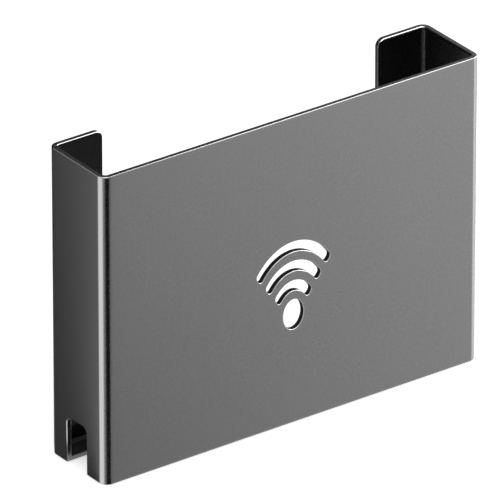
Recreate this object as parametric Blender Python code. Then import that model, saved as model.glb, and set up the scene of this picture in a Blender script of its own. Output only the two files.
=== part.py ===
"""Wall sleeve for a slim wireless unit: one bent sheet, two mounting tapes and two ledge pads.

Metres, +Z up. The front panel faces -Y, the wall is on the +Y side, and the origin is at the middle
of the footprint, on the surface that the sleeve stands on.
"""

from math import asin, cos, pi, radians, sin

import bpy
import bmesh

# Sheet: overall sizes over the bends, gauge and inside bend radius
WIDTH = 0.200
HEIGHT = 0.1475
DEPTH = 0.0405
GAUGE = 0.0025
INNER_BEND = 0.0017
BEND_STEPS = 8

# Rear flanges, measured from the side wall's outer face to the free edge
FLANGE_WIDTH = 0.027
FLANGE_CORNER = 0.0038

# Ledges at the foot of the flanges, and the slots that free their bends from the upright bends
LEDGE_DEPTH = 0.0126
LEDGE_CORNER = 0.0026
RELIEF_WIDTH = 0.0012
RELIEF_EXTRA = 0.0010

# Cable notches at the foot of the side walls, in front of the ledges
NOTCH_WIDTH = 0.0144
NOTCH_HEIGHT = 0.0223
NOTCH_CORNER = 0.0030

# Signal symbol cut through the front panel: a dot and arcs about one centre, drawn taller than wide
SYMBOL_CENTRE_Z = 0.0526
SYMBOL_STRETCH = 1.335
DOT_RADIUS = 0.0054
ARC_COUNT = 3
FIRST_ARC_RADIUS = 0.0086
ARC_BAND = 0.00365
ARC_PITCH = 0.0070
ARC_HALF_ANGLE = radians(45)
ARC_END_LENGTH = 0.0020
ARC_END_CORNER = 0.0014
ARC_STEPS = 20
DOT_STEPS = 32

# Foam tape on the flange backs
TAPE_THICKNESS = 0.0010
TAPE_SIDE_MARGIN = 0.0020
TAPE_FOOT_MARGIN = 0.0060
TAPE_TOP_MARGIN = 0.0100
TAPE_CORNER = 0.0020

# Anti-slip pads on the ledges
PAD_THICKNESS = 0.0012
PAD_MARGIN = 0.0008
PAD_CORNER = 0.0018

# Gap kept between two pieces that touch
SEAT_GAP = 0.0003

# Stock left on an edge that a cutter trims, and how far a cutter runs past what it cuts
TRIM_STOCK = 0.0020
OVERRUN = 0.0050
CORNER_STEPS = 6

# Places that follow from the sizes above
OUTER_BEND = INNER_BEND + GAUGE
FULL_DEPTH = DEPTH + SEAT_GAP + TAPE_THICKNESS
FRONT_Y = -FULL_DEPTH / 2
REAR_Y = FRONT_Y + DEPTH
SIDE_X = WIDTH / 2
FREE_EDGE_X = SIDE_X - FLANGE_WIDTH
BEND_LINE_X = SIDE_X - OUTER_BEND
LEDGE_FRONT_Y = REAR_Y - LEDGE_DEPTH
NOTCH_FRONT_Y = LEDGE_FRONT_Y - NOTCH_WIDTH


def clear_scene():
    for obj in list(bpy.data.objects):
        bpy.data.objects.remove(obj, do_unlink=True)


def make_material(name, colour, roughness, metallic):
    material = bpy.data.materials.new(name)
    material.use_nodes = True
    shader = material.node_tree.nodes["Principled BSDF"]
    shader.inputs["Base Color"].default_value = (*colour, 1.0)
    shader.inputs["Roughness"].default_value = roughness
    shader.inputs["Metallic"].default_value = metallic
    return material


def arc(centre, radius, start, end, steps):
    """Points from angle start to angle end about centre, both ends included."""
    angles = [start + (end - start) * step / steps for step in range(steps + 1)]
    return [(centre[0] + radius * cos(angle), centre[1] + radius * sin(angle)) for angle in angles]


def rounded_rectangle(low, high, radius):
    corners = [
        ((high[0] - radius, high[1] - radius), 0.0),
        ((low[0] + radius, high[1] - radius), pi / 2),
        ((low[0] + radius, low[1] + radius), pi),
        ((high[0] - radius, low[1] + radius), 3 * pi / 2),
    ]
    outline = []
    for centre, start in corners:
        outline += arc(centre, radius, start, start + pi / 2, CORNER_STEPS)
    return outline


def prism(name, outline, axis, low, high):
    """A closed solid: an outline in the plane across axis, run along axis from low to high."""
    place = {
        "X": lambda u, v, along: (along, u, v),
        "Y": lambda u, v, along: (u, along, v),
        "Z": lambda u, v, along: (u, v, along),
    }[axis]
    shape = bmesh.new()
    face = shape.faces.new([shape.verts.new(place(u, v, low)) for u, v in outline])
    extruded = bmesh.ops.extrude_face_region(shape, geom=[face])
    moved = [item for item in extruded["geom"] if isinstance(item, bmesh.types.BMVert)]
    bmesh.ops.translate(shape, verts=moved, vec=place(0.0, 0.0, high - low))
    bmesh.ops.recalc_face_normals(shape, faces=shape.faces)
    mesh = bpy.data.meshes.new(name)
    shape.to_mesh(mesh)
    shape.free()
    obj = bpy.data.objects.new(name, mesh)
    bpy.context.scene.collection.objects.link(obj)
    return obj


def as_tool(obj, tools):
    """Hides a solid that only shapes another, and gathers it with its like."""
    obj.hide_render = True
    obj.display_type = "WIRE"
    bpy.context.scene.collection.objects.unlink(obj)
    tools.objects.link(obj)


def tool_collection(name):
    tools = bpy.data.collections.new(name)
    bpy.context.scene.collection.children.link(tools)
    return tools


def add_boolean(obj, operation, tools):
    modifier = obj.modifiers.new(tools.name, "BOOLEAN")
    modifier.operation = operation
    modifier.operand_type = "COLLECTION"
    modifier.collection = tools
    modifier.solver = "EXACT"


def mirrored(outline, side):
    """The outline as drawn for the +X side, or turned over to the -X side."""
    return [(side * u, v) for u, v in outline]


def sheet_profile():
    """Plan of the bent sheet, with the flanges left long for trimming."""
    front = (BEND_LINE_X, FRONT_Y + OUTER_BEND)
    rear = (BEND_LINE_X, REAR_Y - OUTER_BEND)
    sides = []
    for offset, radius in ((0.0, OUTER_BEND), (GAUGE, INNER_BEND)):
        side = arc(front, radius, -pi / 2, 0.0, BEND_STEPS)
        side += arc(rear, radius, 0.0, pi / 2, BEND_STEPS)
        sides.append(side + [(FREE_EDGE_X - TRIM_STOCK, REAR_Y - offset)])
    outer, inner = sides
    return mirrored(outer, -1)[::-1] + outer + inner[::-1] + mirrored(inner, -1)


def ledge_profile():
    """Side view of a ledge and the inside of its bend, left long at the front and the bottom."""
    bend_centre = (REAR_Y - OUTER_BEND, OUTER_BEND)
    core_y = REAR_Y - GAUGE / 2
    front_y = LEDGE_FRONT_Y - TRIM_STOCK
    outline = [(front_y, -TRIM_STOCK), (front_y, GAUGE)]
    outline += arc(bend_centre, INNER_BEND, -pi / 2, 0.0, BEND_STEPS)
    return outline + [(core_y, OUTER_BEND), (core_y, -TRIM_STOCK)]


def flange_trim(side):
    """Everything past a flange's free edge, with its rounded top corner."""
    centre = (FREE_EDGE_X + FLANGE_CORNER, HEIGHT - FLANGE_CORNER)
    past_x = FREE_EDGE_X - OVERRUN
    top = HEIGHT + OVERRUN
    outline = [(FREE_EDGE_X, -OVERRUN)]
    outline += arc(centre, FLANGE_CORNER, pi, pi / 2, CORNER_STEPS)
    outline += [(centre[0], top), (past_x, top), (past_x, -OVERRUN)]
    return mirrored(outline, side)


def ledge_corner_cut(side):
    """The waste outside a ledge's rounded free corner."""
    centre = (FREE_EDGE_X + LEDGE_CORNER, LEDGE_FRONT_Y + LEDGE_CORNER)
    past = (FREE_EDGE_X - OVERRUN, LEDGE_FRONT_Y - OVERRUN)
    outline = [(past[0], centre[1])]
    outline += arc(centre, LEDGE_CORNER, pi, 3 * pi / 2, CORNER_STEPS)
    outline += [(centre[0], past[1]), past]
    return mirrored(outline, side)


def ledge_bend_cut():
    """The waste outside the bend between a flange and its ledge."""
    centre = (REAR_Y - OUTER_BEND, OUTER_BEND)
    past = (REAR_Y + OVERRUN, -OVERRUN)
    outline = [(centre[0], past[1])]
    outline += arc(centre, OUTER_BEND, -pi / 2, 0.0, BEND_STEPS)
    return outline + [(past[0], centre[1]), past]


def relief_slot():
    """Side view of the slot between a ledge's bend and the upright bend beside it."""
    front_y = REAR_Y - OUTER_BEND - RELIEF_EXTRA
    past_y = REAR_Y + OVERRUN
    top = OUTER_BEND + RELIEF_EXTRA
    return [(front_y, -OVERRUN), (past_y, -OVERRUN), (past_y, top), (front_y, top)]


def notch_cut():
    """Notch seen from the side: open at the foot, rounded at the top."""
    corner_z = NOTCH_HEIGHT - NOTCH_CORNER
    outline = [(NOTCH_FRONT_Y, -OVERRUN), (LEDGE_FRONT_Y, -OVERRUN)]
    outline += arc((LEDGE_FRONT_Y - NOTCH_CORNER, corner_z), NOTCH_CORNER, 0.0, pi / 2, CORNER_STEPS)
    return outline + arc((NOTCH_FRONT_Y + NOTCH_CORNER, corner_z), NOTCH_CORNER, pi / 2, pi, CORNER_STEPS)


def foot_trim():
    """Everything below the foot, in front view."""
    past_x = SIDE_X + OVERRUN
    return [(-past_x, -2 * OVERRUN), (past_x, -2 * OVERRUN), (past_x, 0.0), (-past_x, 0.0)]


def arc_right_half(inner_radius):
    """Right half of an arc of the symbol: along its inner edge, round its end and back outside."""
    outer_radius = inner_radius + ARC_BAND
    end_angle = pi / 2 - ARC_HALF_ANGLE
    corner_past_end = ARC_END_LENGTH - ARC_END_CORNER
    inner_track = inner_radius + ARC_END_CORNER
    outer_track = outer_radius - ARC_END_CORNER
    inner_angle = end_angle - asin(corner_past_end / inner_track)
    outer_angle = end_angle - asin(corner_past_end / outer_track)
    inner_centre = (inner_track * cos(inner_angle), inner_track * sin(inner_angle))
    outer_centre = (outer_track * cos(outer_angle), outer_track * sin(outer_angle))
    end_normal = end_angle - pi / 2
    outline = arc((0.0, 0.0), inner_radius, pi / 2, inner_angle, ARC_STEPS)
    outline += arc(inner_centre, ARC_END_CORNER, inner_angle + pi, end_normal + 2 * pi, CORNER_STEPS)[1:]
    outline += arc(outer_centre, ARC_END_CORNER, end_normal, outer_angle, CORNER_STEPS)
    return outline + arc((0.0, 0.0), outer_radius, outer_angle, pi / 2, ARC_STEPS)[1:]


def symbol_outlines():
    """The dot and the arcs, stretched upwards about their centre, on the front panel."""
    outlines = [arc((0.0, 0.0), DOT_RADIUS, 0.0, 2 * pi, DOT_STEPS)[:-1]]
    for number in range(ARC_COUNT):
        right = arc_right_half(FIRST_ARC_RADIUS + number * ARC_PITCH)
        left = mirrored(right, -1)[::-1]
        outlines.append(right + left[1:-1])
    return [[(u, SYMBOL_CENTRE_Z + SYMBOL_STRETCH * v) for u, v in outline] for outline in outlines]


def sorted_span(side, near, far):
    """The two X limits of something on one side, low one first."""
    return sorted((side * near, side * far))


def make_sheet_sleeve():
    sleeve = prism("sheet_sleeve", sheet_profile(), "Z", -TRIM_STOCK, HEIGHT)
    ledges = tool_collection("ledges")
    cuts = tool_collection("cuts")
    slot_inner_x = BEND_LINE_X - RELIEF_WIDTH
    slot_middle_x = BEND_LINE_X - RELIEF_WIDTH / 2
    past_free_edge = FREE_EDGE_X - OVERRUN
    rear_cut = (LEDGE_FRONT_Y - OVERRUN, REAR_Y + OVERRUN)
    front_cut = (FRONT_Y - OVERRUN, FRONT_Y + GAUGE + OVERRUN)
    for side in (-1, 1):
        ledge_span = sorted_span(side, SIDE_X - GAUGE / 2, FREE_EDGE_X - TRIM_STOCK)
        bend_span = sorted_span(side, slot_middle_x, past_free_edge)
        slot_span = sorted_span(side, BEND_LINE_X, slot_inner_x)
        notch_span = sorted_span(side, SIDE_X + OVERRUN, past_free_edge)
        as_tool(prism("ledge", ledge_profile(), "X", *ledge_span), ledges)
        as_tool(prism("flange_trim", flange_trim(side), "Y", *rear_cut), cuts)
        as_tool(prism("ledge_corner", ledge_corner_cut(side), "Z", -OVERRUN, GAUGE + OVERRUN), cuts)
        as_tool(prism("ledge_bend", ledge_bend_cut(), "X", *bend_span), cuts)
        as_tool(prism("relief_slot", relief_slot(), "X", *slot_span), cuts)
        as_tool(prism("cable_notch", notch_cut(), "X", *notch_span), cuts)
    for outline in symbol_outlines():
        as_tool(prism("symbol", outline, "Y", *front_cut), cuts)
    as_tool(prism("foot_trim", foot_trim(), "Y", FRONT_Y - OVERRUN, REAR_Y + OVERRUN), cuts)
    add_boolean(sleeve, "UNION", ledges)
    add_boolean(sleeve, "DIFFERENCE", cuts)
    sleeve.data.materials.append(make_material("gunmetal", (0.18, 0.18, 0.18), 0.27, 1.0))


def make_mounting_tape(name, side):
    span = sorted_span(side, FREE_EDGE_X + TAPE_SIDE_MARGIN, BEND_LINE_X - TAPE_SIDE_MARGIN)
    low = (span[0], OUTER_BEND + TAPE_FOOT_MARGIN)
    high = (span[1], HEIGHT - TAPE_TOP_MARGIN)
    seat_y = REAR_Y + SEAT_GAP
    tape = prism(name, rounded_rectangle(low, high, TAPE_CORNER), "Y", seat_y, seat_y + TAPE_THICKNESS)
    tape.data.materials.append(make_material(name + "_foam", (0.03, 0.03, 0.03), 0.9, 0.0))


def make_ledge_pad(name, side):
    span = sorted_span(side, FREE_EDGE_X + PAD_MARGIN, SIDE_X - GAUGE - PAD_MARGIN)
    low = (span[0], LEDGE_FRONT_Y + PAD_MARGIN)
    high = (span[1], REAR_Y - OUTER_BEND - RELIEF_EXTRA - PAD_MARGIN)
    seat_z = GAUGE + SEAT_GAP
    pad = prism(name, rounded_rectangle(low, high, PAD_CORNER), "Z", seat_z, seat_z + PAD_THICKNESS)
    pad.data.materials.append(make_material(name + "_rubber", (0.05, 0.05, 0.05), 0.8, 0.0))


clear_scene()
make_sheet_sleeve()
for side_name, side_sign in (("left", -1), ("right", 1)):
    make_mounting_tape("mounting_tape_" + side_name, side_sign)
    make_ledge_pad("ledge_pad_" + side_name, side_sign)
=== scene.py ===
from math import cos, pi, radians, sin

import bpy
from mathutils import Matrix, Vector


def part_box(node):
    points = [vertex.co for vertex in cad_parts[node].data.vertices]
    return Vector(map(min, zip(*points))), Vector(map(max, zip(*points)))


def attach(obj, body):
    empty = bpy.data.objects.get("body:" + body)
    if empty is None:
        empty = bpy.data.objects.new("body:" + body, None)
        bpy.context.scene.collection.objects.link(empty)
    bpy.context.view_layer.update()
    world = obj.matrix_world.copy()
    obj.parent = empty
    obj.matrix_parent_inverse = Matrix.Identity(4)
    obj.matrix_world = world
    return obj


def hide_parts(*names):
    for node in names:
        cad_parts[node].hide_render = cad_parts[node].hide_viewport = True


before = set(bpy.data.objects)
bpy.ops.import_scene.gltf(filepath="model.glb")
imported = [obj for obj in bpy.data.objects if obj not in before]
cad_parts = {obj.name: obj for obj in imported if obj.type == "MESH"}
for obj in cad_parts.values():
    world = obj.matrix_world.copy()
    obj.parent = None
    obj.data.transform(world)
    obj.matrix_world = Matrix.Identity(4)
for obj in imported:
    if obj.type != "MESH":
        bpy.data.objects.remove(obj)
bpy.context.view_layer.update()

# Bent sheet: front panel, side walls and rear flanges are one strip of gunmetal anodised aluminium,
# folded on a press brake. Its outer skin is drawn as the front panel, folded edge by edge round the
# sides, rounded along the folds, and then given its gauge inwards.
GAUGE = 0.0025
OUTER_BEND = 0.0042
FLANGE_WIDTH = 0.027
TRIM_STOCK = 0.002  # spare sheet, trimmed off later
FOLD_SEGMENTS = 16
NEAR = 0.00002  # places closer than this are the same
INWARDS = -1
LEFT, RIGHT = -1, 1
X, Y, Z = range(3)
sheet_low, sheet_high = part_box("sheet_sleeve")
sheet_size = sheet_high - sheet_low
side_x = sheet_high.x
front_y = sheet_low.y
rear_y = sheet_high.y
top_z = sheet_high.z
free_edge_x = side_x - FLANGE_WIDTH
fold_line_x = side_x - OUTER_BEND


def work_on(obj):
    """Makes one object the only one that the operators act on."""
    bpy.ops.object.select_all(action="DESELECT")
    obj.select_set(True)
    bpy.context.view_layer.objects.active = obj


def apply_place(obj, name):
    """Names a new primitive and puts its place, turn and size into its mesh."""
    work_on(obj)
    bpy.ops.object.transform_apply(location=True, rotation=True, scale=True)
    obj.name = name
    obj.data.name = name
    return obj


def is_at(value, target):
    """Whether two coordinates are the same, but for rounding."""
    return abs(value - target) < NEAR


def pick_edges(obj, test):
    """Enters edit mode with only the edges selected whose two ends pass the test."""
    work_on(obj)
    bpy.ops.object.mode_set(mode="EDIT")
    bpy.ops.mesh.select_mode(type="EDGE")
    bpy.ops.mesh.select_all(action="DESELECT")
    bpy.ops.object.mode_set(mode="OBJECT")
    points = obj.data.vertices
    for edge in obj.data.edges:
        a, b = (points[index].co for index in edge.vertices)
        edge.select = test(a, b)
    bpy.ops.object.mode_set(mode="EDIT")


def fold_out(obj, test, offset):
    """Extrudes the picked edges of a sheet by an offset."""
    pick_edges(obj, test)
    bpy.ops.mesh.extrude_region_move(TRANSFORM_OT_translate={"value": offset})
    bpy.ops.object.mode_set(mode="OBJECT")


def round_edges(obj, test, radius, segments):
    """Rounds the picked edges."""
    pick_edges(obj, test)
    bpy.ops.mesh.bevel(offset=radius, segments=segments, affect="EDGES")
    bpy.ops.object.mode_set(mode="OBJECT")


def both_at(axis, target):
    """A test for edges that lie in the plane where one coordinate has the target value."""
    return lambda a, b: is_at(a[axis], target) and is_at(b[axis], target)


def at_either_side(x):
    """A test for edges that lie in the plane at x or in its mirror image."""
    return lambda a, b: is_at(abs(a.x), x) and is_at(abs(b.x), x)


def along(axis):
    """A test for edges that run along one axis."""
    return lambda a, b: all(is_at(a[other], b[other]) for other in (X, Y, Z) if other != axis)


def all_of(*tests):
    """A test for edges that pass each of several tests."""
    return lambda a, b: all(test(a, b) for test in tests)


bpy.ops.object.select_all(action="DESELECT")
bpy.ops.mesh.primitive_plane_add(
    size=1, location=(0, front_y, (top_z - TRIM_STOCK) / 2), rotation=(pi / 2, 0, 0)
)
bpy.context.object.scale = (sheet_size.x, top_z + TRIM_STOCK, 1)
sheet = apply_place(bpy.context.object, "bent_sheet")
for side in (LEFT, RIGHT):
    fold_out(sheet, both_at(X, side * side_x), (0, sheet_size.y, 0))
for side in (LEFT, RIGHT):
    at_rear_corner = all_of(both_at(X, side * side_x), both_at(Y, rear_y))
    fold_out(sheet, at_rear_corner, (-side * (FLANGE_WIDTH + TRIM_STOCK), 0, 0))
round_edges(sheet, all_of(along(Z), at_either_side(side_x)), OUTER_BEND, FOLD_SEGMENTS)
work_on(sheet)
thickness = sheet.modifiers.new("gauge", "SOLIDIFY")
thickness.thickness = GAUGE
thickness.offset = INWARDS
thickness.use_even_offset = True
bpy.ops.object.modifier_apply(modifier=thickness.name)

# Ledges: a tab at the foot of each rear flange is bent forwards and welded to the side wall, so that
# the device stands on it. The tab is joined on with stock to spare, and then the flanges' free edges
# and the sheet's foot are trimmed to size.
LEDGE_DEPTH = 0.0126
OVERRUN = 0.004  # how far a tool runs past what it cuts
ledge_front_y = rear_y - LEDGE_DEPTH


def block(name, corner, opposite):
    """A box between two corners, given in any order."""
    corner, opposite = Vector(corner), Vector(opposite)
    bpy.ops.object.select_all(action="DESELECT")
    bpy.ops.mesh.primitive_cube_add(size=1, location=(corner + opposite) / 2)
    bpy.context.object.scale = [abs(value) for value in opposite - corner]
    return apply_place(bpy.context.object, name)


def combine(obj, operation, tool):
    """Joins a tool's solid to an object or cuts it away, and removes the tool."""
    work_on(obj)
    modifier = obj.modifiers.new(operation, "BOOLEAN")
    modifier.operation = operation
    modifier.solver = "EXACT"
    modifier.object = tool
    bpy.ops.object.modifier_apply(modifier=modifier.name)
    bpy.data.objects.remove(tool)


for side in (LEFT, RIGHT):
    outer = (side * (side_x - GAUGE / 2), rear_y - GAUGE / 2, GAUGE)
    inner = (side * (free_edge_x - TRIM_STOCK / 2), ledge_front_y - OVERRUN, -TRIM_STOCK / 2)
    combine(sheet, "UNION", block("ledge", outer, inner))
    outer = (side * free_edge_x, rear_y + OVERRUN, top_z + OVERRUN)
    inner = (side * (free_edge_x - OVERRUN), ledge_front_y - 2 * OVERRUN, -OVERRUN)
    combine(sheet, "DIFFERENCE", block("free_edge_trim", outer, inner))
outer = (side_x + OVERRUN, rear_y + OVERRUN, 0)
inner = (-side_x - OVERRUN, front_y - OVERRUN, -OVERRUN)
combine(sheet, "DIFFERENCE", block("foot_trim", outer, inner))

# Cable notches: an opening at the foot of each side wall lets a plug and its cable out sideways. One
# punch makes it and trims the ledge's front edge level with it. A thin punch then frees the ledge's
# bend from the upright bend beside it, and the ledge's bends and the free corners are rounded.
NOTCH_WIDTH = 0.0144
NOTCH_HEIGHT = 0.0223
NOTCH_CORNER = 0.0030
RELIEF_WIDTH = 0.0012
RELIEF_EXTRA = 0.0010  # how far the slot runs past the bends
RELIEF_LAND = 0.0001  # flat left between the slot and the upright bend
INNER_BEND = OUTER_BEND - GAUGE
LEDGE_CORNER = 0.0026
FLANGE_CORNER = 0.0038
CORNER_SEGMENTS = 8
slot_x = fold_line_x - RELIEF_WIDTH
slot_outer_x = fold_line_x - RELIEF_LAND
slot_y = rear_y - OUTER_BEND - RELIEF_EXTRA
slot_z = OUTER_BEND + RELIEF_EXTRA


def between_slots(a, b):
    """An edge that lies between the two relief slots."""
    return max(abs(a.x), abs(b.x)) < slot_x + NEAR


for side in (LEFT, RIGHT):
    outer = (side * (side_x + OVERRUN), ledge_front_y, NOTCH_HEIGHT)
    inner = (side * (free_edge_x - OVERRUN), ledge_front_y - NOTCH_WIDTH, -OVERRUN)
    punch = block("notch_punch", outer, inner)
    round_edges(punch, all_of(along(X), both_at(Z, NOTCH_HEIGHT)), NOTCH_CORNER, CORNER_SEGMENTS)
    combine(sheet, "DIFFERENCE", punch)
    outer = (side * slot_outer_x, rear_y + OVERRUN, slot_z)
    inner = (side * slot_x, slot_y, -OVERRUN)
    combine(sheet, "DIFFERENCE", block("relief_punch", outer, inner))
for inset, radius in ((0, OUTER_BEND), (GAUGE, INNER_BEND)):
    at_bend = all_of(along(X), between_slots, both_at(Z, inset), both_at(Y, rear_y - inset))
    round_edges(sheet, at_bend, radius, CORNER_SEGMENTS)
for at_end, radius in ((both_at(Z, top_z), FLANGE_CORNER), (both_at(Y, ledge_front_y), LEDGE_CORNER)):
    round_edges(sheet, all_of(at_either_side(free_edge_x), at_end), radius, CORNER_SEGMENTS)

# Signal symbol: a dot and three arcs, the common sign for a wireless signal, are laser-cut right
# through the front panel. Their ends are rounded, and the whole sign is a third taller than wide.
SYMBOL_CENTRE_Z = 0.0526
SYMBOL_STRETCH = 1.335
DOT_RADIUS = 0.0054
DOT_SEGMENTS = 72
FIRST_ARC_RADIUS = 0.0086
ARC_COUNT = 3
ARC_BAND = 0.00365
ARC_PITCH = 0.0070
ARC_HALF_ANGLE = radians(45)
ARC_SEGMENTS = 40
ARC_END_LENGTH = 0.0020
ARC_END_CORNER = 0.0014
ARC_END_NEAR = 0.0001
symbol_centre = Vector((0, front_y + GAUGE / 2, SYMBOL_CENTRE_Z))
punch_depth = GAUGE + 2 * OVERRUN


def stretch_symbol():
    """Draws everything selected in edit mode taller about the symbol's centre."""
    bpy.ops.transform.resize(value=(1, 1, SYMBOL_STRETCH), center_override=symbol_centre)


def pick_faces(obj, test):
    """Enters edit mode with only the faces selected that pass the test."""
    work_on(obj)
    bpy.ops.object.mode_set(mode="EDIT")
    bpy.ops.mesh.select_mode(type="FACE")
    bpy.ops.mesh.select_all(action="DESELECT")
    bpy.ops.object.mode_set(mode="OBJECT")
    for face in obj.data.polygons:
        face.select = test(face)
    bpy.ops.object.mode_set(mode="EDIT")


def round_arc_end(punch, side, middle):
    """Runs one end of an arc's punch on and rounds its corners."""
    radial = Vector((side * sin(ARC_HALF_ANGLE), 0, cos(ARC_HALF_ANGLE)))
    outwards = Vector((side * cos(ARC_HALF_ANGLE), 0, -sin(ARC_HALF_ANGLE)))
    end_centre = symbol_centre + middle * radial
    pick_faces(punch, lambda face: (face.center - end_centre).length < ARC_END_NEAR)
    bpy.ops.mesh.extrude_region_move(TRANSFORM_OT_translate={"value": outwards * ARC_END_LENGTH})
    bpy.ops.object.mode_set(mode="OBJECT")

    def at_end(a, b):
        return is_at((a - symbol_centre).dot(outwards), ARC_END_LENGTH)

    round_edges(punch, all_of(along(Y), at_end), ARC_END_CORNER, CORNER_SEGMENTS)


def arc_punch(radius):
    """A band swept about the symbol's centre, with both ends run on and rounded."""
    middle = radius + ARC_BAND / 2
    start = symbol_centre + Vector((-middle * sin(ARC_HALF_ANGLE), 0, middle * cos(ARC_HALF_ANGLE)))
    bpy.ops.object.select_all(action="DESELECT")
    bpy.ops.mesh.primitive_plane_add(size=1, location=start, rotation=(0, pi / 2 - ARC_HALF_ANGLE, 0))
    bpy.context.object.scale = (ARC_BAND, punch_depth, 1)
    punch = apply_place(bpy.context.object, "arc_punch")
    bpy.ops.object.mode_set(mode="EDIT")
    bpy.ops.mesh.select_all(action="SELECT")
    bpy.ops.mesh.spin(
        steps=ARC_SEGMENTS, angle=2 * ARC_HALF_ANGLE, center=symbol_centre, axis=(0, -1, 0)
    )
    bpy.ops.mesh.select_all(action="SELECT")
    bpy.ops.mesh.remove_doubles(threshold=NEAR)
    bpy.ops.mesh.normals_make_consistent(inside=False)
    bpy.ops.object.mode_set(mode="OBJECT")
    for side in (LEFT, RIGHT):
        round_arc_end(punch, side, middle)
    bpy.ops.object.mode_set(mode="EDIT")
    bpy.ops.mesh.select_all(action="SELECT")
    bpy.ops.mesh.normals_make_consistent(inside=False)
    stretch_symbol()
    bpy.ops.object.mode_set(mode="OBJECT")
    return punch


bpy.ops.object.select_all(action="DESELECT")
bpy.ops.mesh.primitive_cylinder_add(
    vertices=DOT_SEGMENTS, radius=DOT_RADIUS, depth=punch_depth,
    location=symbol_centre, rotation=(pi / 2, 0, 0)
)
dot_punch = apply_place(bpy.context.object, "dot_punch")
bpy.ops.object.mode_set(mode="EDIT")
bpy.ops.mesh.select_all(action="SELECT")
stretch_symbol()
bpy.ops.object.mode_set(mode="OBJECT")
combine(sheet, "DIFFERENCE", dot_punch)
for number in range(ARC_COUNT):
    combine(sheet, "DIFFERENCE", arc_punch(FIRST_ARC_RADIUS + number * ARC_PITCH))

# Deburred edges and finish: the sheet's cut edges are rounded by tumbling, less so on the symbol, whose
# rear rims stay as cut. The part is bead-blasted and anodised gunmetal grey. Its edges come out smoother
# than its faces. Its bends get a painted highlight, and the symbol's walls are painted black as shade.
EDGE_RADIUS = 0.0005
SYMBOL_EDGE_RADIUS = 0.00035
EDGE_SEGMENTS = 4
EDGE_ANGLE = radians(40)
FLAT_WEIGHT = 100
FACE_FINISH, EDGE_FINISH, WALL_FINISH = range(3)
GUNMETAL = (0.18, 0.18, 0.18)
GUNMETAL_SHADES = 0.97, 1.03
CLOUD_SCALE, CLOUD_DETAIL = 14, 3.0
# Painted highlight: the bends' colour is lightened, standing in for the light that they mirror.
PAINTED_BEND_HIGHLIGHT = (0.42, 0.42, 0.42)
BEND_START, BEND_FULL = sin(radians(4)), sin(radians(12))
FACE_ROUGHNESS = 0.27
EDGE_ROUGHNESS = 0.14
GRAIN_ROUGHNESS = 0.02
GRAIN_SCALE, GRAIN_DETAIL = 4200, 2.0
GRAIN_BUMP, GRAIN_DEPTH = 0.06, 0.00002
# Painted shade: the symbol's cut walls are painted near black, standing in for the dark that they mirror.
PAINTED_WALL_BLACK = (0.010, 0.010, 0.010)
PAINTED_WALL_SHADES = 0.7, 1.3
CUT_WALL_ROUGHNESS = 0.5, 0.7
CUT_WALL_SPECULAR = 0.1
STREAK_SCALE, STREAK_DETAIL = 2500, 2.0
STREAK_STRETCH = 0.1
STREAK_BUMP, STREAK_DEPTH = 0.2, 0.00003
NOISE_LOW, NOISE_HIGH = 0.3, 0.7
symbol_reach = FIRST_ARC_RADIUS + ARC_COUNT * ARC_PITCH


def new_material(name):
    """A material that is made of nodes, its node tree and its shader."""
    material = bpy.data.materials.new(name)
    material.use_nodes = True
    return material, material.node_tree, material.node_tree.nodes["Principled BSDF"]


def add_node(tree, kind, operation=None, **inputs):
    """Adds a node, with its operation if it has one, and sets its named inputs."""
    node = tree.nodes.new(kind)
    if operation:
        node.operation = operation
    for name, value in inputs.items():
        node.inputs[name.replace("_", " ")].default_value = value
    return node


def add_texture(tree, kind, place, **inputs):
    """Adds a texture that reads its place on the piece, and gives its outputs."""
    node = add_node(tree, kind, **inputs)
    tree.links.new(place, node.inputs["Vector"])
    return node.outputs


def spread_noise(tree, noise, low, high):
    """A number that follows a noise, spread from the noise's usual range to the range low to high."""
    node = add_node(
        tree, "ShaderNodeMapRange", From_Min=NOISE_LOW, From_Max=NOISE_HIGH, To_Min=low, To_Max=high
    )
    tree.links.new(noise, node.inputs["Value"])
    return node.outputs["Result"]


def shade_mix(tree, factor, dark, light):
    """A node whose colour drifts between two shades by a factor."""
    node = tree.nodes.new("ShaderNodeMix")
    node.data_type = "RGBA"
    node.inputs["A"].default_value = (*dark, 1)
    node.inputs["B"].default_value = (*light, 1)
    tree.links.new(factor, node.inputs["Factor"])
    return node


def drift(tree, factor, colour, shares):
    """A colour that drifts by a factor between two shares of itself."""
    dark, light = ([share * value for value in colour] for share in shares)
    return shade_mix(tree, factor, dark, light).outputs["Result"]


def raise_surface(tree, height, strength, depth):
    """Raises and sinks the surface by a texture."""
    bump = add_node(tree, "ShaderNodeBump", Strength=strength, Distance=depth)
    tree.links.new(height, bump.inputs["Height"])
    tree.links.new(bump.outputs["Normal"], tree.nodes["Principled BSDF"].inputs["Normal"])


def mottle(tree, noise, colour, shares, roughness):
    """Lets one noise vary a surface's colour, between two shares of it, and its roughness."""
    shader = tree.nodes["Principled BSDF"]
    tree.links.new(drift(tree, noise, colour, shares), shader.inputs["Base Color"])
    tree.links.new(spread_noise(tree, noise, *roughness), shader.inputs["Roughness"])


def paint_bend_highlights(tree, colour, normal):
    """Paints a highlight: lightens a colour where the sheet turns from one upright face to the next."""
    spread = add_node(tree, "ShaderNodeVectorMath", "ABSOLUTE")
    tree.links.new(normal, spread.inputs["Vector"])
    split = add_node(tree, "ShaderNodeSeparateXYZ")
    tree.links.new(spread.outputs["Vector"], split.inputs["Vector"])
    least = add_node(tree, "ShaderNodeMath", "MINIMUM")
    tree.links.new(split.outputs["X"], least.inputs[0])
    tree.links.new(split.outputs["Y"], least.inputs[1])
    share = add_node(tree, "ShaderNodeMapRange", From_Min=BEND_START, From_Max=BEND_FULL)
    tree.links.new(least.outputs["Value"], share.inputs["Value"])
    highlighted = shade_mix(tree, share.outputs["Result"], GUNMETAL, PAINTED_BEND_HIGHLIGHT)
    tree.links.new(colour, highlighted.inputs["A"])
    return highlighted.outputs["Result"]


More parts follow.
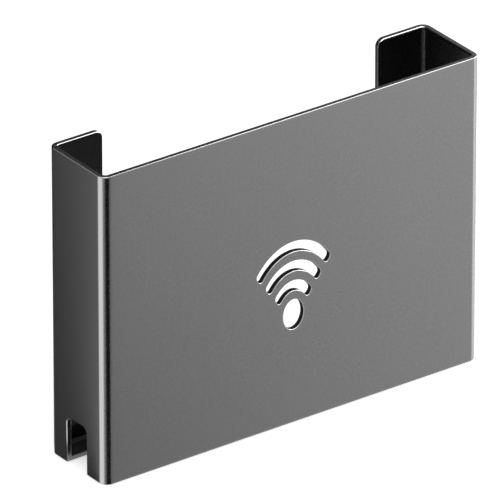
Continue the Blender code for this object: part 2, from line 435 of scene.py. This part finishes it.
def anodised(name, roughness):
    """Bead-blasted, anodised aluminium: a fine even grain, a faint cloudiness of the dye and a painted
    highlight on the bends.
    """
    material, tree, shader = new_material(name)
    shader.inputs["Metallic"].default_value = 1.0
    coordinates = add_node(tree, "ShaderNodeTexCoord").outputs
    place = coordinates["Object"]
    grain = add_texture(tree, "ShaderNodeTexNoise", place, Scale=GRAIN_SCALE, Detail=GRAIN_DETAIL)["Fac"]
    cloud = add_texture(tree, "ShaderNodeTexNoise", place, Scale=CLOUD_SCALE, Detail=CLOUD_DETAIL)["Fac"]
    dye = drift(tree, cloud, GUNMETAL, GUNMETAL_SHADES)
    # The bends and rims get a painted highlight, a lighter colour where the sheet turns.
    tree.links.new(paint_bend_highlights(tree, dye, coordinates["Normal"]), shader.inputs["Base Color"])
    rough = spread_noise(tree, grain, roughness - GRAIN_ROUGHNESS, roughness + GRAIN_ROUGHNESS)
    tree.links.new(rough, shader.inputs["Roughness"])
    raise_surface(tree, grain, GRAIN_BUMP, GRAIN_DEPTH)
    return material


def painted_black_wall():
    """A cut wall painted black as painted shade, for the dark that the walls mirror: matt, with fine streaks
    through the sheet.
    """
    material, tree, shader = new_material("black_cut_wall")
    shader.inputs["Specular IOR Level"].default_value = CUT_WALL_SPECULAR
    place = add_node(tree, "ShaderNodeTexCoord").outputs["Object"]
    squeezed = add_texture(tree, "ShaderNodeMapping", place, Scale=(1, STREAK_STRETCH, 1))["Vector"]
    streaks = add_texture(
        tree, "ShaderNodeTexNoise", squeezed, Scale=STREAK_SCALE, Detail=STREAK_DETAIL
    )["Fac"]
    mottle(tree, streaks, PAINTED_WALL_BLACK, PAINTED_WALL_SHADES, CUT_WALL_ROUGHNESS)
    raise_surface(tree, streaks, STREAK_BUMP, STREAK_DEPTH)
    return material


def in_symbol(point):
    """Whether a point of the front panel lies on the rim of the dot or of an arc."""
    from_centre = point - symbol_centre
    beside = abs(from_centre.x) < symbol_reach and abs(from_centre.z) < symbol_reach * SYMBOL_STRETCH
    return beside and abs(from_centre.y) < GAUGE


def in_slot(point):
    """Whether a point lies on the wall of a relief slot, which is too narrow to tumble."""
    across = slot_x - NEAR < abs(point.x) < slot_outer_x + NEAR
    return across and point.y > slot_y - NEAR and point.z < slot_z + NEAR


def on_front_rim(a, b):
    """An edge of the symbol on the outer face of the front panel."""
    return in_symbol(a) and in_symbol(b) and max(a.y, b.y) < symbol_centre.y


def on_cut_edge(a, b):
    """An edge that is neither the symbol's nor a relief slot's."""
    return not (in_symbol(a) and in_symbol(b) or in_slot(a) and in_slot(b))


def tumble(radius, test):
    """Rounds the sheet's sharp edges whose two ends pass the test."""
    bpy.ops.object.mode_set(mode="EDIT")
    bpy.ops.mesh.select_mode(type="EDGE")
    bpy.ops.mesh.select_all(action="DESELECT")
    bpy.ops.mesh.edges_select_sharp(sharpness=EDGE_ANGLE)
    bpy.ops.object.mode_set(mode="OBJECT")
    for face in sheet.data.polygons:
        face.select = False
    for edge in sheet.data.edges:
        a, b = (sheet.data.vertices[index].co for index in edge.vertices)
        edge.select = edge.select and test(a, b)
    bpy.ops.object.mode_set(mode="EDIT")
    bpy.ops.mesh.bevel(offset=radius, segments=EDGE_SEGMENTS, affect="EDGES", material=EDGE_FINISH)
    bpy.ops.object.mode_set(mode="OBJECT")


sheet.data.materials.clear()
sheet.data.materials.append(anodised("gunmetal_face", FACE_ROUGHNESS))
sheet.data.materials.append(anodised("gunmetal_edge", EDGE_ROUGHNESS))
sheet.data.materials.append(painted_black_wall())
# The symbol's cut walls take the painted black shade, every other face the gunmetal face.
for face in sheet.data.polygons:
    on_rim = all(in_symbol(sheet.data.vertices[index].co) for index in face.vertices)
    face.material_index = WALL_FINISH if on_rim and abs(face.normal.y) < NEAR else FACE_FINISH
work_on(sheet)
tumble(SYMBOL_EDGE_RADIUS, on_front_rim)
tumble(EDGE_RADIUS, on_cut_edge)
bpy.ops.object.shade_smooth_by_angle(angle=EDGE_ANGLE)
flats = sheet.modifiers.new("flat_faces", "WEIGHTED_NORMAL")
flats.weight = FLAT_WEIGHT
flats.keep_sharp = True
bpy.ops.object.modifier_apply(modifier=flats.name)
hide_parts("sheet_sleeve")
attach(sheet, "root")

# Mounting tape: a strip of black closed-cell foam tape on the back of each flange holds the sleeve on
# the wall. The foam swells a little between its two adhesive films, which shine where they are bare.
GLUE_LINE = 0.00005
TAPE_CORNER = 0.0020
TAPE_FILM = 0.00012
TAPE_SWELL = 0.00015
SWELL_STEPS = 6
FOAM_FINISH, FILM_FINISH = range(2)
FOAM = (0.030, 0.030, 0.030)
FOAM_SHADES = 0.8, 1.3
FOAM_ROUGHNESS = 0.78, 0.92
FOAM_CLOUD_SCALE, FOAM_CLOUD_DETAIL = 60, 3.0
CELL_SCALE = 3200
CELL_BUMP, CELL_DEPTH = 0.5, 0.0001
ADHESIVE = (0.020, 0.020, 0.020)
ADHESIVE_SHADES = 0.85, 1.2
ADHESIVE_ROUGHNESS = 0.30, 0.42
WAVE_SCALE, WAVE_DETAIL = 420, 2.0
WAVE_BUMP, WAVE_DEPTH = 0.25, 0.0001


def foam():
    """Closed-cell foam: matt black, with fine round cells."""
    material, tree, _ = new_material("black_foam")
    place = add_node(tree, "ShaderNodeTexCoord").outputs["Object"]
    cells = add_texture(tree, "ShaderNodeTexVoronoi", place, Scale=CELL_SCALE)["Distance"]
    cloud = add_texture(
        tree, "ShaderNodeTexNoise", place, Scale=FOAM_CLOUD_SCALE, Detail=FOAM_CLOUD_DETAIL
    )["Fac"]
    mottle(tree, cloud, FOAM, FOAM_SHADES, FOAM_ROUGHNESS)
    raise_surface(tree, cells, CELL_BUMP, CELL_DEPTH)
    return material


def adhesive():
    """Acrylic adhesive film: black and glossy, with the waviness of the liner that was peeled off it."""
    material, tree, _ = new_material("adhesive_film")
    place = add_node(tree, "ShaderNodeTexCoord").outputs["Object"]
    waves = add_texture(tree, "ShaderNodeTexNoise", place, Scale=WAVE_SCALE, Detail=WAVE_DETAIL)["Fac"]
    mottle(tree, waves, ADHESIVE, ADHESIVE_SHADES, ADHESIVE_ROUGHNESS)
    raise_surface(tree, waves, WAVE_BUMP, WAVE_DEPTH)
    return material


tape_finishes = foam(), adhesive()
swell_room = Vector((TAPE_SWELL, 0, TAPE_SWELL))
for side_name in ("left", "right"):
    node = "mounting_tape_" + side_name
    low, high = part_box(node)
    low.y = rear_y + GLUE_LINE
    tape = block("foam_tape_" + side_name, low + swell_room, high - swell_room)
    round_edges(tape, along(Y), TAPE_CORNER, CORNER_SEGMENTS)
    foam_low, foam_high = low.y + TAPE_FILM, high.y - TAPE_FILM
    bpy.ops.object.mode_set(mode="EDIT")
    for step in range(SWELL_STEPS + 1):
        share = step / SWELL_STEPS
        layer_y = foam_low + share * (foam_high - foam_low)
        bpy.ops.mesh.select_all(action="SELECT")
        bpy.ops.mesh.bisect(plane_co=(0, layer_y, 0), plane_no=(0, 1, 0), threshold=NEAR)
        bpy.ops.transform.shrink_fatten(value=TAPE_SWELL * sin(pi * share))
    bpy.ops.object.mode_set(mode="OBJECT")
    for finish in tape_finishes:
        tape.data.materials.append(finish)
    for face in tape.data.polygons:
        is_foam = foam_low < face.center.y < foam_high
        face.material_index = FOAM_FINISH if is_foam else FILM_FINISH
    bpy.ops.object.shade_smooth_by_angle(angle=EDGE_ANGLE)
    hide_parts(node)
    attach(tape, "root")

# Ledge pads: a thin anti-slip rubber pad on each ledge keeps the device from sliding and rattling.
# It is die-cut and glued on, with a softly rounded upper edge and a slightly crowned top.
PAD_CORNER = 0.0018
PAD_EDGE = 0.0003
PAD_CROWN = 0.00012
PAD_RIM = 0.0007
RUBBER = (0.020, 0.020, 0.020)
RUBBER_SHADES = 0.85, 1.2
RUBBER_ROUGHNESS = 0.68, 0.82
RUBBER_SPECULAR = 0.15
TOOTH_SCALE, TOOTH_DETAIL = 1800, 3.0
TOOTH_BUMP, TOOTH_DEPTH = 0.3, 0.00005


def rubber():
    """Dark rubber with a fine matt tooth."""
    material, tree, shader = new_material("dark_rubber")
    shader.inputs["Specular IOR Level"].default_value = RUBBER_SPECULAR
    place = add_node(tree, "ShaderNodeTexCoord").outputs["Object"]
    tooth = add_texture(tree, "ShaderNodeTexNoise", place, Scale=TOOTH_SCALE, Detail=TOOTH_DETAIL)["Fac"]
    mottle(tree, tooth, RUBBER, RUBBER_SHADES, RUBBER_ROUGHNESS)
    raise_surface(tree, tooth, TOOTH_BUMP, TOOTH_DEPTH)
    return material


rubber_finish = rubber()
for side_name in ("left", "right"):
    node = "ledge_pad_" + side_name
    low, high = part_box(node)
    low.z = GAUGE + GLUE_LINE
    high.z -= PAD_CROWN
    pad = block("rubber_pad_" + side_name, low, high)
    round_edges(pad, along(Z), PAD_CORNER, CORNER_SEGMENTS)
    round_edges(pad, both_at(Z, high.z), PAD_EDGE, EDGE_SEGMENTS)
    pick_faces(pad, lambda face: is_at(face.center.z, high.z))
    bpy.ops.mesh.inset(thickness=PAD_RIM, depth=PAD_CROWN)
    bpy.ops.object.mode_set(mode="OBJECT")
    pad.data.materials.append(rubber_finish)
    bpy.ops.object.shade_smooth_by_angle(angle=EDGE_ANGLE)
    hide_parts(node)
    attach(pad, "root")

# Camera: it stands to the front left of the sleeve and looks down at it, far off behind a long lens,
# so that upright edges stay almost parallel.
CAMERA_AZIMUTH = radians(-36.10)
CAMERA_ELEVATION = radians(27.22)
CAMERA_DISTANCE = 5.0
CAMERA_LENS = 842.2
CAMERA_SIGHT = 100
CAMERA_AIM = Vector((-0.02304, -0.0207, 0.09057))


def stand(obj, place, target):
    """Adds a camera or a lamp to the scene at a place, turned to face a target."""
    obj.location = place
    obj.rotation_euler = (Vector(target) - Vector(place)).to_track_quat("-Z", "Y").to_euler()
    bpy.context.scene.collection.objects.link(obj)


towards_camera = Vector((
    sin(CAMERA_AZIMUTH) * cos(CAMERA_ELEVATION),
    -cos(CAMERA_AZIMUTH) * cos(CAMERA_ELEVATION),
    sin(CAMERA_ELEVATION),
))
camera_data = bpy.data.cameras.new("photo_camera")
camera_data.lens = CAMERA_LENS
camera_data.clip_end = CAMERA_SIGHT
camera = bpy.data.objects.new("photo_camera", camera_data)
stand(camera, CAMERA_AIM + towards_camera * CAMERA_DISTANCE, CAMERA_AIM)
bpy.context.scene.camera = camera
bpy.context.scene.view_settings.view_transform = "Standard"

# Floor, world and lamp: the sleeve stands on a plain white floor in a white world, under one soft lamp.
# The camera and the metal see the floor and the world brighter than they light everything else.
BLACK, WHITE = (0, 0, 0, 1), (1, 1, 1, 1)
WORLD_LIGHT, WORLD_SHOWN = 0.55, 1.0
FLOOR_SIZE = 30
FLOOR_DROP = 0.0002
FLOOR_PALE = (0.85, 0.85, 0.85, 1)
FLOOR_ROUGHNESS = 0.9
FLOOR_LIGHT, FLOOR_SHOWN = 0.0, 0.50
LAMP_PLACE = (-0.3, -0.5, 1.6)
LAMP_AIM = (0, 0, 0.05)
LAMP_SIZE = 1.2
LAMP_WATTS = 12


def where_shown(tree, light, shown):
    """One strength for rays from the camera, or mirrored or passed on by the object, and one for the rest."""
    path = add_node(tree, "ShaderNodeLightPath").outputs
    seen = path["Is Camera Ray"]
    for name in ("Is Glossy Ray", "Is Transmission Ray"):
        either = add_node(tree, "ShaderNodeMath", "MAXIMUM")
        tree.links.new(seen, either.inputs[0])
        tree.links.new(path[name], either.inputs[1])
        seen = either.outputs["Value"]
    level = add_node(tree, "ShaderNodeMapRange", To_Min=light, To_Max=shown)
    tree.links.new(seen, level.inputs["Value"])
    return level.outputs["Result"]


world = bpy.data.worlds.new("white_studio")
bpy.context.scene.world = world
world.use_nodes = True
backdrop = world.node_tree.nodes["Background"]
backdrop.inputs["Color"].default_value = WHITE
world_strength = where_shown(world.node_tree, WORLD_LIGHT, WORLD_SHOWN)
world.node_tree.links.new(world_strength, backdrop.inputs["Strength"])

bpy.ops.object.select_all(action="DESELECT")
bpy.ops.mesh.primitive_plane_add(size=FLOOR_SIZE, location=(0, 0, -FLOOR_DROP))
floor = apply_place(bpy.context.object, "floor")
floor_white, floor_tree, floor_shader = new_material("floor_white")
floor_shader.inputs["Base Color"].default_value = FLOOR_PALE
floor_shader.inputs["Roughness"].default_value = FLOOR_ROUGHNESS
floor_shader.inputs["Specular IOR Level"].default_value = 0.0
floor_shader.inputs["Emission Color"].default_value = WHITE
floor_strength = where_shown(floor_tree, FLOOR_LIGHT, FLOOR_SHOWN)
floor_tree.links.new(floor_strength, floor_shader.inputs["Emission Strength"])
floor.data.materials.append(floor_white)

lamp_data = bpy.data.lights.new("overhead_softbox", "AREA")
lamp_data.size = LAMP_SIZE
lamp_data.energy = LAMP_WATTS
stand(bpy.data.objects.new("overhead_softbox", lamp_data), LAMP_PLACE, LAMP_AIM)

# Cards on the left: like a studio's reflectors and flags, cards show only in the metal. The left wall
# mirrors a dark one on the floor. The left front bend mirrors a bright screen and, close to it, a dark
# one with two softer ones beside it. A screen lies on the floor and then stands up from it.
CARD_HEIGHT = -FLOOR_DROP / 2
FOOT_HEIGHT = CARD_HEIGHT / 2
PLANE_ORDER = 0, 1, 3, 2  # the points of a new plane, in order round it
ALONG_X = 1, 0, 0
WALL_FLAG_BACK = 0.9
WALL_FLAG_RIGHT = 0.1
WALL_FLAG_SPAN = -0.20, -0.115
WALL_FLAG_GLOW = 0.0, 0.12
LEFT_STRIPE = 1.5, 36
LEFT_REACH = 0.12
LEFT_TOP = 0.16
LEFT_GLOW = 1.4
BAND_REACH = 0.012
BAND_SCREENS = ("band_shade", (38, 51), 0.30), ("band_flag", (51, 80), 0.0), ("band_grey", (80, 87), 0.5)


def card(name, corners, glow=0.0):
    """Stands a glowing or black card by its four corners, seen only in the metal, and gives its node tree."""
    bpy.ops.object.select_all(action="DESELECT")
    bpy.ops.mesh.primitive_plane_add(size=1)
    obj = apply_place(bpy.context.object, name)
    for index, corner in zip(PLANE_ORDER, corners):
        obj.data.vertices[index].co = corner
    material, tree, shader = new_material(name)
    shader.inputs["Base Color"].default_value = BLACK
    shader.inputs["Specular IOR Level"].default_value = 0.0
    shader.inputs["Emission Color"].default_value = WHITE
    shader.inputs["Emission Strength"].default_value = glow
    material.cycles.emission_sampling = "NONE"
    obj.data.materials.append(material)
    obj.visible_camera = False
    obj.visible_diffuse = False
    obj.visible_transmission = False
    obj.visible_shadow = False
    return tree


def level_card(name, outline, glow=0.0, height=CARD_HEIGHT):
    """A card that lies level, on the floor unless a height is given."""
    return card(name, [(x, y, height) for x, y in outline], glow)


def grade_along(tree, span, glow, way=ALONG_X):
    """Grades a card's glow along a way, from the start of a span to its end."""
    progress = add_node(tree, "ShaderNodeVectorMath", "DOT_PRODUCT")
    progress.inputs[1].default_value = way
    tree.links.new(add_node(tree, "ShaderNodeTexCoord").outputs["Object"], progress.inputs[0])
    (start, end), (first, last) = span, glow
    grade = add_node(tree, "ShaderNodeMapRange", From_Min=start, From_Max=end, To_Min=first, To_Max=last)
    tree.links.new(progress.outputs["Value"], grade.inputs["Value"])
    tree.links.new(grade.outputs["Result"], tree.nodes["Principled BSDF"].inputs["Emission Strength"])


def mirrored_from_bend(side, turn, distance):
    """A point, in plan, on the line that the camera sees mirrored in a front bend.

    The line leaves the bend's surface where the bend has turned by some degrees from the side wall to
    the front, and the point lies at a distance along it.
    """
    normal = pi + radians(turn) if side == LEFT else -radians(turn)
    mirrored = 2 * normal - (CAMERA_AZIMUTH - pi / 2)
    start_x = side * fold_line_x + OUTER_BEND * cos(normal)
    start_y = front_y + OUTER_BEND + OUTER_BEND * sin(normal)
    return start_x + distance * cos(mirrored), start_y + distance * sin(mirrored)


def bend_wedge(side, stretch, reach):
    """The outline of what a stretch of a front bend mirrors, from the bend out to a reach."""
    start, end = stretch
    places = (start, 0), (start, reach), (end, reach), (end, 0)
    return [mirrored_from_bend(side, turn, distance) for turn, distance in places]


def left_screen(name, stretch, reach, top, glow):
    """A card on the floor and one that stands at its end, which a stretch of the left bend mirrors."""
    level_card(name + "_foot", bend_wedge(LEFT, stretch, reach), glow, FOOT_HEIGHT)
    near, far = (mirrored_from_bend(LEFT, turn, reach) for turn in stretch)
    card(name, ((*near, 0), (*far, 0), (*far, top), (*near, top)), glow)


stripe_start = LEFT_STRIPE[0]
wall_flag = level_card("rear_left_flag", (
    mirrored_from_bend(LEFT, stripe_start, 0), mirrored_from_bend(LEFT, stripe_start, WALL_FLAG_BACK),
    (WALL_FLAG_RIGHT, WALL_FLAG_BACK), (-side_x, rear_y),
))
grade_along(wall_flag, WALL_FLAG_SPAN, WALL_FLAG_GLOW)
left_screen("left_reflector", LEFT_STRIPE, LEFT_REACH, LEFT_TOP, LEFT_GLOW)
for name, stretch, glow in BAND_SCREENS:
    left_screen(name, stretch, BAND_REACH, top_z, glow)

# Cards on the right and inside: the right front bend mirrors a bright card on the floor. Dark cards on
# the floor and across the top of the pocket keep the inner faces black, and leave the ledges some light.
RIGHT_STRIPE = 38, 74
RIGHT_REACH = 0.4
RIGHT_GLOW = 1.1
LEDGE_LIGHT = 0.005  # bare floor before the ledges
INSIDE_GLOW = 0.02
inner_x = side_x - GAUGE
inner_front_y = front_y + GAUGE
pocket_top = top_z - 2 * EDGE_RADIUS


def rectangle(first_span, second_span):
    """The four corners of a rectangle in order, from its spans along two axes."""
    (low_a, high_a), (low_b, high_b) = first_span, second_span
    return (low_a, low_b), (high_a, low_b), (high_a, high_b), (low_a, high_b)


level_card("right_reflector", bend_wedge(RIGHT, RIGHT_STRIPE, RIGHT_REACH), RIGHT_GLOW)
inside = rectangle((-inner_x, inner_x), (inner_front_y, ledge_front_y - LEDGE_LIGHT))
level_card("inside_flag", inside, INSIDE_GLOW)
pocket = rectangle((-inner_x, inner_x), (inner_front_y, rear_y - GAUGE))
level_card("pocket_flag", pocket, height=pocket_top)

# Cards behind: a black one stands behind the sleeve, with a dim one on the floor before it and a grey
# one above it that grows lighter to the right. The top edges and the inner faces mirror them.
REAR_CARD_Y = 0.14
REAR_FLAG_X = -0.20, 0.30
REAR_FLAG_Z = 0.12, 0.20
REAR_FLOOR_RIGHT = 0.6
REAR_FLOOR_BACK = 0.7
REAR_FLOOR_GLOW = 0.4
TOP_CARD_X = -0.16, 0.50
TOP_CARD_Z = 0.20, 0.55
TOP_CARD_SPAN = 0.10, 0.20
TOP_CARD_GLOW = 0.15, 0.40


def standing_card(name, y, span_x, span_z):
    """A black card that stands square to the sleeve's front."""
    return card(name, [(x, y, z) for x, z in rectangle(span_x, span_z)])


standing_card("rear_standing_flag", REAR_CARD_Y, REAR_FLAG_X, REAR_FLAG_Z)
rear_floor = rectangle((-inner_x, REAR_FLOOR_RIGHT), (rear_y, REAR_FLOOR_BACK))
level_card("rear_flag", rear_floor, REAR_FLOOR_GLOW)
top_reflector = standing_card("top_reflector", REAR_CARD_Y, TOP_CARD_X, TOP_CARD_Z)
grade_along(top_reflector, TOP_CARD_SPAN, TOP_CARD_GLOW)

# Cards for the edges: small bright cards to the right and above draw light lines along the rounded cut
# edges of the sheet and of the symbol. A strip close before the top edge lights its front rounding.
RIM_CARD_WAY = 0.518, -0.461, 0.72
RIM_CARD_DISTANCE = 0.7
RIM_CARD_SIZE = 0.55
RIM_CARD_SPAN = 0.24, 0.38
RIM_CARD_GLOW = 6.0, 15.0
SIDE_CARD_WAY = 0.98, -0.10, 0.18
SIDE_CARD_DISTANCE = 0.8
SIDE_CARD_SIZE = 0.5
SIDE_CARD_GLOW = 6.0
SYMBOL_CARD_WAY = 0.852, -0.256, 0.455
SYMBOL_CARD_DISTANCE = 0.75
SYMBOL_CARD_SIZE = 0.35
SYMBOL_CARD_GLOW = 12.0
STRIP_GAP = 0.012
STRIP_LOW, STRIP_HIGH = 0.002, 0.03
STRIP_SPAN = -0.1, 0.11
STRIP_GLOW = 1.3, 5.5
top_middle = Vector((0, front_y, top_z))


def facing_card(name, target, way, distance, size, glow=0.0):
    """A square card that faces a target, at a distance along a way from it."""
    way = Vector(way).normalized()
    across = Vector((0, 0, 1)).cross(way).normalized()
    upwards = way.cross(across)
    half = (-size / 2, size / 2)
    middle = target + way * distance
    return card(name, [middle + across * a + upwards * b for a, b in rectangle(half, half)], glow)


rim_card = facing_card("front_right_reflector", top_middle, RIM_CARD_WAY, RIM_CARD_DISTANCE, RIM_CARD_SIZE)
grade_along(rim_card, RIM_CARD_SPAN, RIM_CARD_GLOW)
facing_card(
    "right_reflector_wall", top_middle, SIDE_CARD_WAY, SIDE_CARD_DISTANCE, SIDE_CARD_SIZE, SIDE_CARD_GLOW
)
facing_card(
    "symbol_reflector", symbol_centre, SYMBOL_CARD_WAY, SYMBOL_CARD_DISTANCE, SYMBOL_CARD_SIZE,
    SYMBOL_CARD_GLOW
)
strip = standing_card(
    "top_edge_card", front_y - STRIP_GAP, (-side_x, 2 * side_x), (top_z + STRIP_LOW, top_z + STRIP_HIGH)
)
grade_along(strip, STRIP_SPAN, STRIP_GLOW)

# Card before the front: the front panel mirrors a card that lies on the floor before it and grows
# lighter to the right and to the rear, which gives the panel its soft gradient.
FRONT_CARD_RIGHT = 0.50
FRONT_CARD_FRONT = -0.40
FRONT_CARD_GAP = 0.001
FRONT_CARD_WAY = 0.95, 0.30, 0
FRONT_CARD_SPAN = -0.10, 0.20
FRONT_CARD_GLOW = 0.69, 1.46

front_outline = rectangle((-side_x, FRONT_CARD_RIGHT), (FRONT_CARD_FRONT, front_y - FRONT_CARD_GAP))
front_card = level_card("front_card", front_outline)
grade_along(front_card, FRONT_CARD_SPAN, FRONT_CARD_GLOW, FRONT_CARD_WAY)
